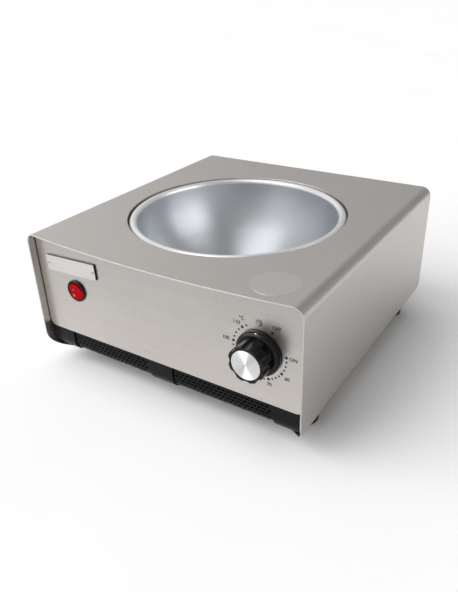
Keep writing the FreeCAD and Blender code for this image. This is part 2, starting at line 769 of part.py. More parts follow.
def make_heater():
    """A tubular ring, open at the back, with two cold legs."""
    ring = doc.addObject("Part::Torus", "heater_ring")
    ring.setExpression("Radius1", bind("heater_radius"))
    ring.setExpression("Radius2", bind("heater_tube"))
    ring.setExpression("Angle3", bind("360 - heater_opening"))
    ring.Placement.Rotation = FreeCAD.Rotation(FreeCAD.Vector(0, 0, 1), 90)
    ring.setExpression("Placement.Rotation.Angle", bind("90 + heater_opening / 2"))
    set_place(ring, y=BOWL_Y, z=HEATER_Z)
    legs = []
    for side in ("-1", "1"):
        leg = doc.addObject("Part::Cylinder", "heater_leg")
        leg.setExpression("Radius", bind("heater_leg_radius"))
        leg.setExpression("Height", bind("heater_leg"))
        set_place(leg, x=f"{side} * heater_radius * sin(heater_opening / 2 * 1deg)",
                  y=f"{BOWL_Y} + heater_radius * cos(heater_opening / 2 * 1deg)",
                  z=f"{HEATER_Z} - heater_leg")
        legs.append(leg)
    heater = doc.addObject("Part::MultiFuse", "heater_element")
    heater.Shapes = [ring] + legs
    return heater


def make_spider():
    """The three-armed clamp that presses the ring to the bowl."""
    body = new_body("heater_spider")
    sketch = new_sketch(body, "XY_Plane", SPIDER_BOTTOM)
    add_circle(sketch, "0", "0", "spider_hub")
    add_pad(body, sketch, "spider_sheet")
    arm_sketch = new_sketch(body, "XY_Plane", SPIDER_BOTTOM)
    add_loop(arm_sketch, rectangle(
        "-spider_arm_width / 2", "-heater_radius - spider_overreach",
        "spider_arm_width / 2", "-spider_hub / 2"))
    arm = add_pad(body, arm_sketch, "spider_sheet")
    arms = body.newObject("PartDesign::PolarPattern", "spider_arms")
    arms.Originals = [arm]
    arms.Axis = (sketch, ["N_Axis"])
    arms.Angle = 360
    arms.Occurrences = 3
    body.Tip = arms
    cut_holes(body, "XY_Plane", [("0", "0", "(stud_radius + stud_fit)")])
    set_place(body, y=BOWL_Y)
    return body


def make_stud():
    stud = turned_body("bowl_stud", rectangle(
        "0", f"({UNDER_Z} - stud_length)", "stud_radius", UNDER_Z))
    set_place(stud, y=BOWL_Y)
    return stud


def make_nut(label, top, flats, height, bore, x, y):
    """A hexagon nut that hangs from its top face."""
    body = new_body(label)
    sketch = new_sketch(body, "XY_Plane", f"{top} - {height}")
    flat, corner = f"({flats} / 2)", f"({flats} / sqrt(3))"
    add_loop(sketch, [
        (corner, "0"), (f"({corner} / 2)", flat), (f"(-{corner} / 2)", flat),
        (f"-{corner}", "0"), (f"(-{corner} / 2)", f"-{flat}"), (f"({corner} / 2)", f"-{flat}")])
    add_circle(sketch, "0", "0", bore)
    add_pad(body, sketch, height)
    set_place(body, x=x, y=y)
    return body


def make_spacer():
    bore = "(stud_radius + stud_fit)"
    spacer = turned_body("shield_spacer", rectangle(bore, SHIELD_TOP, "spacer_radius", SPACER_TOP))
    set_place(spacer, y=BOWL_Y)
    return spacer


def make_shield():
    """A flat pan under the heater that keeps the heat off the tray."""
    bore = "(stud_radius + stud_fit)"
    inner = "(shield_radius - shield_sheet)"
    shield = turned_body("heat_shield", [
        (bore, SHIELD_BOTTOM), ("shield_radius", SHIELD_BOTTOM),
        ("shield_radius", f"({SHIELD_TOP} + shield_rim)"), (inner, f"({SHIELD_TOP} + shield_rim)"),
        (inner, SHIELD_TOP), (bore, SHIELD_TOP)])
    leg_x = "(heater_radius * sin(heater_opening / 2 * 1deg))"
    leg_y = "(heater_radius * cos(heater_opening / 2 * 1deg))"
    cut_holes(shield, "XY_Plane", [
        (f"-{leg_x}", leg_y, "shield_port"), (leg_x, leg_y, "shield_port")])
    set_place(shield, y=BOWL_Y)
    return shield


# Thermostat, its shaft and the knob, all drawn upright and turned to face the front

def place_on_face(piece, x, z):
    face_forward(piece)
    set_place(piece, x=x, y=FACE, z=z)


def make_thermostat():
    body = new_body("thermostat_body")
    plate_front = "(-panel_sheet)"
    plate = new_sketch(body, "XY_Plane", plate_front)
    add_loop(plate, round_rectangle(
        "-thermostat_width / 2", "-thermostat_height / 2",
        "thermostat_width / 2", "thermostat_height / 2", "small_head_radius"))
    add_pad(body, plate, "thermostat_plate", reverse=True)
    cup = new_sketch(body, "XY_Plane", f"{plate_front} - thermostat_plate")
    add_circle(cup, "0", "0", "thermostat_cup")
    add_pad(body, cup, "thermostat_depth - thermostat_plate", reverse=True)
    bush = new_sketch(body, "XY_Plane", plate_front)
    add_circle(bush, "0", "0", "bush_radius")
    add_pad(body, bush, "panel_sheet + bush_proud")
    cut_holes(body, "XY_Plane", [("0", "0", "(shaft_radius + shaft_fit)")],
              offset="bush_proud", length="bush_proud + panel_sheet + shaft_in_body + shaft_fit")
    cut_holes(body, "XY_Plane", [
        (f"{side} * thermostat_screw_spread / 2", "0", SMALL_HOLE) for side in ("-1", "1")],
        offset=plate_front, length="small_screw_length")
    place_on_face(body, KNOB_X, KNOB_Z)
    return body


def make_shaft():
    """The thermostat's shaft, flat on one side where the knob holds it."""
    body = new_body("thermostat_shaft")
    bottom = "(-panel_sheet - shaft_in_body)"
    sketch = new_sketch(body, "XY_Plane", bottom)
    add_circle(sketch, "0", "0", "shaft_radius")
    add_pad(body, sketch, f"shaft_in_knob + knob_gap + bush_proud - {bottom}")
    flat = "(shaft_radius - shaft_flat)"
    cut_loops(body, "XY_Plane", [rectangle(
        "-shaft_radius - shaft_fit", flat, "shaft_radius + shaft_fit", "shaft_radius + shaft_fit")],
        offset="bush_proud + boss_gap", length="shaft_in_knob + knob_gap", reverse=True)
    place_on_face(body, KNOB_X, KNOB_Z)
    return body


def make_knob():
    """A domed skirt and a fluted grip with a recess for the metal cap."""
    front = "(knob_gap + knob_length)"
    recess = f"({front} - cap_sheet)"
    skirt_top = "(knob_gap + skirt_height)"
    dome = "(skirt_height - skirt_edge)"
    shoulder = f"(skirt_radius - {dome})"
    bore = "(shaft_radius + shaft_fit)"
    bore_end = "(shaft_in_knob + knob_gap + bush_proud + shaft_fit)"
    boss_start = "(bush_proud + boss_gap)"
    boss = "(bush_radius + skirt_wall)"
    hollow = "(skirt_radius - skirt_wall)"
    hollow_top = "(knob_gap + skirt_hollow)"
    seat = "(cap_radius + cap_fit)"
    knob = turned_body("knob", [
        (hollow, "knob_gap"), ("skirt_radius", "knob_gap"),
        ("skirt_radius", "(knob_gap + skirt_edge)"), (shoulder, skirt_top, dome, "left"),
        ("grip_radius", skirt_top), ("grip_radius", f"({front} - grip_edge)"),
        ("(grip_radius - grip_edge)", front, "grip_edge", "left"),
        (seat, front), (seat, recess), ("0", recess), ("0", bore_end), (bore, bore_end),
        (bore, boss_start), (boss, boss_start), (boss, hollow_top), (hollow, hollow_top)])
    sketch = new_sketch(knob, "XY_Plane", front)
    add_circle(sketch, "0", "(grip_radius + flute_radius - flute_depth)", "flute_radius")
    flute = add_pocket(knob, sketch, f"{front} - {skirt_top}")
    flutes = knob.newObject("PartDesign::PolarPattern", "knob_flutes")
    flutes.Originals = [flute]
    flutes.Axis = (sketch, ["N_Axis"])
    flutes.Angle = 360
    flutes.setExpression("Occurrences", bind("flute_count"))
    knob.Tip = flutes
    place_on_face(knob, KNOB_X, KNOB_Z)
    return knob


def make_knob_cap():
    front = "(knob_gap + knob_length)"
    cap = turned_body("knob_cap", rectangle("0", f"({front} - cap_sheet)", "cap_radius", front))
    place_on_face(cap, KNOB_X, KNOB_Z)
    return cap


# Rocker switch

def make_switch():
    """A round bezel on the panel and a barrel behind it, with a well for the rocker."""
    well = "(rocker_radius + rocker_gap)"
    rim = "(bezel_height - bezel_edge)"
    switch = turned_body("switch_body", [
        ("0", "-barrel_length"), ("barrel_radius", "-barrel_length"), ("barrel_radius", "0"),
        ("bezel_radius", "0"), ("bezel_radius", rim),
        ("(bezel_radius - bezel_edge)", "bezel_height", "bezel_edge", "left"),
        (well, "bezel_height"), (well, "-rocker_well"), ("0", "-rocker_well")])
    cut_holes(switch, "YZ_Plane", [("0", "-rocker_pivot_depth", "(pivot_radius + pivot_fit)")])
    place_on_face(switch, SWITCH_X, SWITCH_Z)
    return switch


def make_rocker():
    """A round key with a dished face, on two pivots, tipped to its off side."""
    body = new_body("switch_rocker")
    back = "(-rocker_back)"
    ends = "(rocker_pivot_depth + rocker_rise)"
    section = new_sketch(body, "YZ_Plane")
    add_loop(section, [
        ("-rocker_radius", back), ("rocker_radius", back), ("rocker_radius", ends),
        ("0", f"({ends} - rocker_dish)"), ("-rocker_radius", ends)])
    add_pad(body, section, "2 * rocker_radius", both=True)
    ring = new_sketch(body, "XY_Plane")
    add_circle(ring, "0", "0", "rocker_radius")
    add_loop(ring, rectangle("-2 * rocker_radius", "-2 * rocker_radius",
                             "2 * rocker_radius", "2 * rocker_radius"))
    add_pocket(body, ring)
    pivots = new_sketch(body, "YZ_Plane")
    add_circle(pivots, "0", "0", "pivot_radius")
    add_pad(body, pivots, "2 * (barrel_radius - pivot_end_gap)", both=True)
    body.Placement.Rotation = FreeCAD.Rotation(FreeCAD.Vector(1, 0, 0), 90)
    body.setExpression("Placement.Rotation.Angle", bind("90 + rocker_tilt"))
    set_place(body, x=SWITCH_X, y=f"({FACE} + rocker_pivot_depth)", z=SWITCH_Z)
    return body


def make_switch_blade(label, step):
    """A tab terminal behind the switch."""
    body = new_body(label)
    sketch = new_sketch(body, "XY_Plane", "-barrel_length")
    add_loop(sketch, rectangle(
        f"{step} * blade_pitch - blade_sheet / 2", "-blade_width / 2",
        f"{step} * blade_pitch + blade_sheet / 2", "blade_width / 2"))
    add_pad(body, sketch, "blade_length", reverse=True)
    place_on_face(body, SWITCH_X, SWITCH_Z)
    return body


# Pilot lamp

def make_lamp_body():
    lamp = turned_body("lamp_body", [
        ("0", "-lamp_length"), ("lamp_radius", "-lamp_length"), ("lamp_radius", "0"),
        ("(lamp_stem + lamp_fit)", "0"), ("(lamp_stem + lamp_fit)", "(-lamp_stem_length - lamp_fit)"),
        ("0", "(-lamp_stem_length - lamp_fit)")])
    place_on_face(lamp, KNOB_X, LAMP_Z)
    return lamp


def make_lamp_lens():
    """A low dome on a stem that plugs into the lamp."""
    dome = "((lens_radius^2 + lens_height^2) / (2 * lens_height))"
    lens = turned_body("lamp_lens", [
        ("0", "-lamp_stem_length"), ("lamp_stem", "-lamp_stem_length"), ("lamp_stem", "0"),
        ("lens_radius", "0"), ("0", "lens_height", dome, "left")])
    place_on_face(lens, KNOB_X, LAMP_Z)
    return lens


# Name plate without any marking, and its rivets

def make_name_plate():
    body = new_body("name_plate")
    sketch = new_sketch(body, "XY_Plane")
    add_loop(sketch, round_rectangle(
        "-plate_width / 2", "-plate_tall / 2", "plate_width / 2", "plate_tall / 2", "plate_corner"))
    for side in ("-1", "1"):
        add_circle(sketch, f"{side} * rivet_spread / 2", "0", "(rivet_radius + rivet_fit)")
    add_pad(body, sketch, "plate_sheet")
    tilt = FreeCAD.Rotation(FreeCAD.Vector(0, 1, 0), -number("plate_tilt"))
    body.Placement.Rotation = tilt * FreeCAD.Rotation(FreeCAD.Vector(1, 0, 0), 90)
    set_place(body, x=PLATE_X, y=FACE, z=PLATE_Z)
    return body


def make_rivet(label, x, z):
    """A small rivet through the plate and the panel."""
    rivet = turned_body(label, [
        ("0", "(-2 * panel_sheet)"), ("rivet_radius", "(-2 * panel_sheet)"),
        ("rivet_radius", "plate_sheet"), ("rivet_head_radius", "plate_sheet"),
        ("rivet_head_radius", "(plate_sheet + rivet_head / 2)"),
        ("rivet_radius", "(plate_sheet + rivet_head)"), ("0", "(plate_sheet + rivet_head)")])
    place_on_face(rivet, x, z)
    return rivet


# Power inlet

def place_on_back(piece, x, z):
    face_back(piece)
    set_place(piece, x=x, y=BACK, z=z)


def make_inlet():
    """A flanged socket whose mouth opens to the back."""
    body = new_body("inlet_body")
    shell = new_sketch(body, "XY_Plane", "-inlet_body_depth")
    add_loop(shell, rectangle("-inlet_body_width / 2", "-inlet_body_tall / 2",
                              "inlet_body_width / 2", "inlet_body_tall / 2"))
    add_pad(body, shell, "inlet_body_depth")
    flange = new_sketch(body, "XY_Plane")
    add_loop(flange, round_rectangle(
        "-inlet_flange_width / 2", "-inlet_flange_tall / 2",
        "inlet_flange_width / 2", "inlet_flange_tall / 2", "inlet_flange_corner"))
    add_pad(body, flange, "inlet_flange")
    half_width = "(inlet_body_width / 2 - inlet_wall)"
    half_tall = "(inlet_body_tall / 2 - inlet_wall)"
    cut_loops(body, "XY_Plane", [rectangle(
        f"-{half_width}", f"-{half_tall}", half_width, half_tall)],
        offset="inlet_flange", length="inlet_flange + inlet_body_depth - inlet_floor")
    cut_holes(body, "XY_Plane", [
        (f"{side} * inlet_screw_spread / 2", "0", SMALL_HOLE) for side in ("-1", "1")])
    cut_loops(body, "XY_Plane", [pin_outline(step, "inlet_fit / 3") for step in (-1, 0, 1)])
    place_on_back(body, INLET_X, INLET_Z)
    return body


def pin_outline(step, extra):
    """The outline of one contact; the middle one stands higher."""
    x, y = f"({step} * pin_spread)", f"({1 - 2 * abs(step)} * pin_stagger)"
    half_width, half_tall = f"(pin_width / 2 + {extra})", f"(pin_tall / 2 + {extra})"
    return rectangle(f"{x} - {half_width}", f"{y} - {half_tall}",
                     f"{x} + {half_width}", f"{y} + {half_tall}")


def make_inlet_pin(label, step):
    body = new_body(label)
    sketch = new_sketch(body, "XY_Plane", "-inlet_body_depth - inlet_floor")
    add_loop(sketch, pin_outline(step, "0"))
    add_pad(body, sketch, "pin_length")
    place_on_back(body, INLET_X, INLET_Z)
    return body


# Screws and feet

def screw_path(radius, head_radius, head, length):
    """Half section of a pan-head screw whose head stands on Z = 0."""
    edge = f"({head} / 2)"
    return [("0", f"-{length}"), (radius, f"-{length}"), (radius, "0"), (head_radius, "0"),
            (head_radius, edge), (f"({head_radius} - {edge})", head, edge, "left"), ("0", head)]


def make_small_screw(label, length):
    return turned_body(label, screw_path("small_screw_radius", "small_head_radius", "small_head", length))


def make_foot(label, x, y):
    """A rubber foot with a sunk bore for its screw."""
    ground = "(foot_radius - foot_taper)"
    foot = turned_body(label, [
        (SCREW_HOLE, "foot_bore_depth"), ("foot_bore", "foot_bore_depth"), ("foot_bore", "0"),
        (ground, "0"), ("foot_radius", f"({SEAT} - foot_taper)"), ("foot_radius", SEAT),
        (SCREW_HOLE, SEAT)])
    set_place(foot, x=x, y=y)
    return foot


def make_foot_screw(label, x, y):
    """Its head bears up against the foot; its tail ends above the nut."""
    length = f"({FLOOR_TOP} - foot_bore_depth + nut_height + screw_tail)"
    screw = turned_body(label, screw_path("screw_radius", "screw_head_radius", "screw_head", length))
    screw.Placement.Rotation = FreeCAD.Rotation(FreeCAD.Vector(1, 0, 0), 180)
    set_place(screw, x=x, y=y, z="foot_bore_depth")
    return screw


# Wiring terminals on the tray

def make_terminal_block():
    """A ceramic block with a cross bore for each wire and a screw well above it."""
    body = new_body("terminal_block")
    sketch = new_sketch(body, "XY_Plane", FLOOR_TOP)
    add_loop(sketch, round_rectangle(
        f"{BLOCK_X} - block_width / 2", f"{BLOCK_Y} - block_depth / 2",
        f"{BLOCK_X} + block_width / 2", f"{BLOCK_Y} + block_depth / 2", "block_bore"))
    add_pad(body, sketch, "block_height")
    steps = ("-1", "0", "1")
    cut_holes(body, "XZ_Plane", [
        (f"{BLOCK_X} + {step} * block_pitch", f"{FLOOR_TOP} + block_height / 2", "block_bore")
        for step in steps])
    cut_holes(body, "XY_Plane", [
        (f"{BLOCK_X} + {step} * block_pitch", BLOCK_Y, "block_bore") for step in steps],
        offset=f"{FLOOR_TOP} + block_height", length="block_height / 2")
    return body


def make_earth_stud():
    """A screw up through the tray; its nut clamps the earth lead."""
    screw = turned_body("earth_stud", screw_path(
        "screw_radius", "screw_head_radius", "screw_head", "earth_length"))
    screw.Placement.Rotation = FreeCAD.Rotation(FreeCAD.Vector(1, 0, 0), 180)
    set_place(screw, x=EARTH_X, y=EARTH_Y, z=FLOOR)
    return screw


# Build every piece

pieces = [make_cover(), make_front_panel(), make_rear_panel(), make_base_tray(),
          make_bowl(), make_support_ring(), make_heater(), make_spider(), make_stud(),
          make_spacer(), make_shield(), make_thermostat(), make_shaft(), make_knob(),
          make_knob_cap(), make_switch(), make_rocker(), make_lamp_body(), make_lamp_lens(),
          make_name_plate(), make_inlet(), make_terminal_block(), make_earth_stud()]

stud_bore = "stud_radius"
pieces.append(make_nut("spider_nut", SPIDER_BOTTOM, "stud_nut_flats", "stud_nut_height",
                       stud_bore, "0", BOWL_Y))
pieces.append(make_nut("shield_nut", SHIELD_BOTTOM, "stud_nut_flats", "stud_nut_height",
                       stud_bore, "0", BOWL_Y))
pieces.append(make_nut("earth_nut", f"({FLOOR_TOP} + nut_height)", "nut_flats", "nut_height",
                       "screw_radius", EARTH_X, EARTH_Y))

for index, step in enumerate((-1, 0, 1), 1):
    pieces.append(make_switch_blade(f"switch_blade_{index}", step))
    pieces.append(make_inlet_pin(f"inlet_pin_{index}", step))

for index, (x, z) in enumerate(rivet_places(), 1):
    pieces.append(make_rivet(f"plate_rivet_{index}", x, z))

for index, (x, z) in enumerate(thermostat_screw_places(), 1):
    screw = make_small_screw(f"thermostat_screw_{index}", "small_screw_length")
    place_on_face(screw, x, z)
    pieces.append(screw)

for index, (x, z) in enumerate(inlet_screw_places(), 1):
    screw = make_small_screw(f"inlet_screw_{index}", "(small_screw_length + inlet_flange)")
    face_back(screw)
    set_place(screw, x=x, y=f"({BACK} + inlet_flange)", z=z)
    pieces.append(screw)

for index, x in enumerate(REAR_SCREW_PLACES, 1):
    screw = make_small_screw(f"rear_screw_{index}", "small_screw_length")
    place_on_back(screw, x, REAR_SCREW_Z)
    pieces.append(screw)

for index, (x, y) in enumerate(FOOT_PLACES, 1):
    pieces.append(make_foot(f"foot_{index}", x, y))
    pieces.append(make_foot_screw(f"foot_screw_{index}", x, y))
    pieces.append(make_nut(f"foot_nut_{index}", f"({FLOOR_TOP} + nut_height)", "nut_flats",
                           "nut_height", "screw_radius", x, y))

doc.recompute()

# Check every object before anything is written
for item in doc.Objects:
    if "Invalid" in item.State or "Error" in item.State:
        raise ValueError(f"{item.Label} failed: {item.State}")
for piece in pieces:
    shape = piece.Shape
    if shape.isNull() or not shape.isValid() or len(shape.Solids) != 1:
        raise ValueError(f"{piece.Label} is not one valid solid")

os.makedirs("parts", exist_ok=True)
for piece in pieces:
    piece.Shape.exportStep(f"parts/{piece.Label}.step")
print(len(pieces), "pieces written")
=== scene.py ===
import json
import math

import bmesh
import bpy
from mathutils import Matrix, Vector
from mathutils.bvhtree import BVHTree


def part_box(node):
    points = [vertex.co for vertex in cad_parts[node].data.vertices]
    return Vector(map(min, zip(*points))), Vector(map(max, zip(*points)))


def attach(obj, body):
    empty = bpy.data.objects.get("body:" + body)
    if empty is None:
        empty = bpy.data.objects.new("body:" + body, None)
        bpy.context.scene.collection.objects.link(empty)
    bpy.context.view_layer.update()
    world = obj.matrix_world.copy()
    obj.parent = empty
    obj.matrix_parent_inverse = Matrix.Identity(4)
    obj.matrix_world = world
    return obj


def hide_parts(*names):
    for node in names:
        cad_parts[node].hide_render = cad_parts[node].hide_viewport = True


# The looks of a table-top candle wax melter. Metres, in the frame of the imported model.

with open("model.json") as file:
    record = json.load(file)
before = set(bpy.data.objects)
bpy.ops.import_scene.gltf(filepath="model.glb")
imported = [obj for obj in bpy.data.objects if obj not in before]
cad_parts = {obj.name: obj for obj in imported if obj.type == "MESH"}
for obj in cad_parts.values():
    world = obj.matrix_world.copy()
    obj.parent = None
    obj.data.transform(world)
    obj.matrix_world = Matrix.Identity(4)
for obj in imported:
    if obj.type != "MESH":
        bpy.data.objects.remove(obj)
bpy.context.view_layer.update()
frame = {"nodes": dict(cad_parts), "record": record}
nodes = frame["nodes"]
MM = 0.001
EVEN = (1, 1, 1)
UPRIGHT, DEPTHWAYS = (0, 0, 1), (0, 1, 0)
FRONT, BACK = Vector((0, -1, 0)), Vector((0, 1, 0))
FACE_FRONT = Matrix.Rotation(math.radians(90), 4, "X")


# Node material helpers

def new_material(name, base, metallic=0.0, roughness=0.5, **sockets):
    """A principled material; other sockets by their names with spaces as underscores."""
    material = bpy.data.materials.new(name)
    material.use_nodes = True
    shader = material.node_tree.nodes["Principled BSDF"]
    shader.inputs["Base Color"].default_value = (*base, 1)
    shader.inputs["Metallic"].default_value = metallic
    shader.inputs["Roughness"].default_value = roughness
    for key, value in sockets.items():
        shader.inputs[key.replace("_", " ")].default_value = value
    return material


def add_node(material, kind, **values):
    """A node with its properties or input values set."""
    node = material.node_tree.nodes.new(kind)
    for key, value in values.items():
        if key in node.inputs:
            node.inputs[key].default_value = value
        else:
            setattr(node, key, value)
    return node


def link(material, source, target):
    """Join an output socket to an input socket."""
    material.node_tree.links.new(source, target)


def shader_of(material):
    """The material's principled shader."""
    return material.node_tree.nodes["Principled BSDF"]


def noise(material, scale, stretch=EVEN, detail=3.0, rough=0.55):
    """Noise in object coordinates, stretched along the axes. Returns its value socket."""
    coords = add_node(material, "ShaderNodeTexCoord")
    mapping = add_node(material, "ShaderNodeMapping")
    mapping.inputs["Scale"].default_value = [scale * s for s in stretch]
    texture = add_node(material, "ShaderNodeTexNoise")
    texture.inputs["Scale"].default_value = 1.0
    texture.inputs["Detail"].default_value = detail
    texture.inputs["Roughness"].default_value = rough
    link(material, coords.outputs["Object"], mapping.inputs["Vector"])
    link(material, mapping.outputs["Vector"], texture.inputs["Vector"])
    return texture.outputs["Fac"]


def remap(material, source, low, high, start=0.3, end=0.7):
    """A value socket spread from start..end to low..high."""
    node = add_node(material, "ShaderNodeMapRange")
    node.inputs["From Min"].default_value = start
    node.inputs["From Max"].default_value = end
    node.inputs["To Min"].default_value = low
    node.inputs["To Max"].default_value = high
    link(material, source, node.inputs["Value"])
    return node.outputs["Result"]


def mix_colours(material, factor, first, second, blend="MIX"):
    """A colour socket from the first colour, or a socket's, to the second colour."""
    mix = add_node(material, "ShaderNodeMix", data_type="RGBA", blend_type=blend)
    link(material, factor, mix.inputs["Factor"])
    if isinstance(first, tuple):
        mix.inputs["A"].default_value = (*first, 1)
    else:
        link(material, first, mix.inputs["A"])
    mix.inputs["B"].default_value = (*second, 1)
    return mix.outputs["Result"]


def add_values(material, first, second):
    """The sum of two value sockets."""
    total = add_node(material, "ShaderNodeMath", operation="ADD")
    link(material, first, total.inputs[0])
    link(material, second, total.inputs[1])
    return total.outputs[0]


def scaled(colour, factor):
    """The colour times the factor, at most 1."""
    return tuple(min(c * factor, 1) for c in colour)


BEVEL_SAMPLES = 6


def add_bump(material, height, strength, distance, edge=0.0):
    """Bump on the shader's normal, over edges that are eased by the radius edge."""
    bump = add_node(material, "ShaderNodeBump")
    bump.inputs["Strength"].default_value = strength
    bump.inputs["Distance"].default_value = distance
    link(material, height, bump.inputs["Height"])
    if edge:
        bevel = add_node(material, "ShaderNodeBevel", samples=BEVEL_SAMPLES)
        bevel.inputs["Radius"].default_value = edge
        link(material, bevel.outputs["Normal"], bump.inputs["Normal"])
    link(material, bump.outputs["Normal"], shader_of(material).inputs["Normal"])


def facing_mask(material, axis, least, most):
    """1 where the surface's own normal along the axis lies between least and most, else 0."""
    coords = add_node(material, "ShaderNodeTexCoord")
    split = add_node(material, "ShaderNodeSeparateXYZ")
    link(material, coords.outputs["Normal"], split.inputs["Vector"])
    middle = add_node(material, "ShaderNodeMath", operation="COMPARE")
    middle.inputs[1].default_value = (least + most) / 2
    middle.inputs[2].default_value = (most - least) / 2
    link(material, split.outputs[axis], middle.inputs[0])
    return middle.outputs[0]


def height_share(material, low, high):
    """0 below the low height, 1 above the high one, and even between them."""
    coords = add_node(material, "ShaderNodeTexCoord")
    split = add_node(material, "ShaderNodeSeparateXYZ")
    link(material, coords.outputs["Object"], split.inputs["Vector"])
    return remap(material, split.outputs["Z"], 0.0, 1.0, low, high)


# Kinds of material

STEEL_FINE, STEEL_STREAK, STEEL_CLOUD = 2400, 320, 12
STEEL_DARKER, STEEL_LIGHTER = 0.93, 1.07
STREAK_TONE = 0.20
CLOUD_TONES = (0.38, 0.62)
CLOUD_ROUGH, FINE_ROUGH = 0.02, 0.05
STEEL_BUMP = (0.10, 0.04 * MM)


def satin_steel(name, grain, base, roughness, edge=0.0, painted_light_by_facing=None, shade=None):
    """Fine brushed sheet; grain stretches the noise along the brushing.
    Of the last two arguments, the first is a least and most of the front normal, and the colour painted on
    what faces so, as painted light.
    The last, shade, is a low and a high height, and the darker tint painted on at the high one, as painted
    shade."""
    material = new_material(name, base, 1.0, roughness)
    shader = shader_of(material)
    fine = noise(material, STEEL_FINE, grain, detail=3.0, rough=0.7)
    streak = noise(material, STEEL_STREAK, grain, detail=4.0, rough=0.6)
    cloud = noise(material, STEEL_CLOUD, detail=3.0, rough=0.6)
    tone = add_values(material, remap(material, streak, -STREAK_TONE, STREAK_TONE),
                      remap(material, cloud, *CLOUD_TONES))
    colour = mix_colours(material, tone, scaled(base, STEEL_DARKER), scaled(base, STEEL_LIGHTER))
    # Faces whose normal along y lies in the given range take a colour of their own: painted light, a
    # painted highlight on the cover's front-facing cut edge and painted shade on the name plate's sideways
    # edges.
    if painted_light_by_facing:
        least, most, painted_light_colour = painted_light_by_facing
        colour = mix_colours(material, facing_mask(material, "Y", least, most), colour, painted_light_colour)
    # Painted shade: towards the high height the colour is multiplied by the darker tint.
    if shade:
        low, high, tint = shade
        colour = mix_colours(material, height_share(material, low, high), colour, tint, "MULTIPLY")
    link(material, colour, shader.inputs["Base Color"])
    polish = add_values(material, remap(material, cloud, -CLOUD_ROUGH, CLOUD_ROUGH),
                        remap(material, fine, roughness - FINE_ROUGH, roughness + FINE_ROUGH))
    link(material, polish, shader.inputs["Roughness"])
    add_bump(material, fine, *STEEL_BUMP, edge)
    return material


METAL_GRAIN = 700
METAL_SMOOTHER, METAL_ROUGHER = 0.06, 0.08
METAL_BUMP = (0.1, 0.05 * MM)


def plain_metal(name, base, roughness):
    """Plated or bare metal with a fine uneven grain."""
    material = new_material(name, base, 1.0, roughness)
    grain = noise(material, METAL_GRAIN)
    polish = remap(material, grain, roughness - METAL_SMOOTHER, roughness + METAL_ROUGHER)
    link(material, polish, shader_of(material).inputs["Roughness"])
    add_bump(material, grain, *METAL_BUMP)
    return material


def polar_tangent(material, centre, axis):
    """Point the brushing round an axis through the centre."""
    flat = tuple(0 if a else 1 for a in axis)
    coords = add_node(material, "ShaderNodeTexCoord")
    mapping = add_node(material, "ShaderNodeMapping")
    mapping.inputs["Location"].default_value = tuple(-c * f for c, f in zip(centre, flat))
    mapping.inputs["Scale"].default_value = flat
    link(material, coords.outputs["Object"], mapping.inputs["Vector"])
    tangent = add_node(material, "ShaderNodeVectorMath", operation="CROSS_PRODUCT")
    tangent.inputs[1].default_value = axis
    link(material, mapping.outputs["Vector"], tangent.inputs[0])
    unit = add_node(material, "ShaderNodeVectorMath", operation="NORMALIZE")
    link(material, tangent.outputs["Vector"], unit.inputs[0])
    link(material, unit.outputs["Vector"], shader_of(material).inputs["Tangent"])
    length = add_node(material, "ShaderNodeVectorMath", operation="LENGTH")
    link(material, mapping.outputs["Vector"], length.inputs[0])
    return length.outputs["Value"]


def ring_noise(material, radius, scale, detail):
    """Noise that runs in rings with the distance from the axis."""
    rings = add_node(material, "ShaderNodeTexNoise", noise_dimensions="1D")
    rings.inputs["Scale"].default_value = scale
    rings.inputs["Detail"].default_value = detail
    link(material, radius, rings.inputs["W"])
    return rings.outputs["Fac"]


def node_centre(name):
    """The middle of a node's box."""
    low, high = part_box(name)
    return (low + high) / 2


ACROSS = 0.25
BOWL_RINGS, BOWL_CLOUD, BOWL_SPECK = 2200, 26, 1900
BOWL_DARK, BOWL_LIGHT = (0.590, 0.607, 0.640), (0.640, 0.657, 0.690)
BOWL_ROUGH = (0.38, 0.46)
BOWL_BUMP = (0.12, 0.04 * MM)
# The lip is painted lighter than the wall: a painted highlight.
LIP_PAINTED_HIGHLIGHT = (0.93, 0.93, 0.925)
LIP_RISE = 4.2 * MM


def spun_bowl():
    """Satin aluminium with faint rings of spinning, a cloudy sheen and a lip painted brighter, a painted
    highlight.
    """
    material = new_material("bowl_spun", BOWL_DARK, 1.0, BOWL_ROUGH[0],
                            Anisotropic=0.7, Anisotropic_Rotation=ACROSS)
    shader = shader_of(material)
    radius = polar_tangent(material, node_centre("bowl"), UPRIGHT)
    rings = ring_noise(material, radius, BOWL_RINGS, detail=3)
    cloud = noise(material, BOWL_CLOUD, detail=4.0, rough=0.6)
    speck = noise(material, BOWL_SPECK, detail=2.0, rough=0.5)
    base = mix_colours(material, remap(material, cloud, 0.0, 1.0), BOWL_DARK, BOWL_LIGHT)
    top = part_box("bowl")[1].z
    # Painted highlight: the band at the top of the bowl takes the lighter lip colour.
    lip = height_share(material, top - LIP_RISE, top - LIP_RISE / 2)
    link(material, mix_colours(material, lip, base, LIP_PAINTED_HIGHLIGHT), shader.inputs["Base Color"])
    link(material, remap(material, speck, *BOWL_ROUGH), shader.inputs["Roughness"])
    add_bump(material, rings, *BOWL_BUMP)
    return material


CAP_COLOUR = (0.79, 0.795, 0.80)
CAP_RINGS = 6000
CAP_ROUGH = (0.42, 0.52)
CAP_BUMP = (0.06, 0.02 * MM)
CAP_EDGE = 0.3 * MM


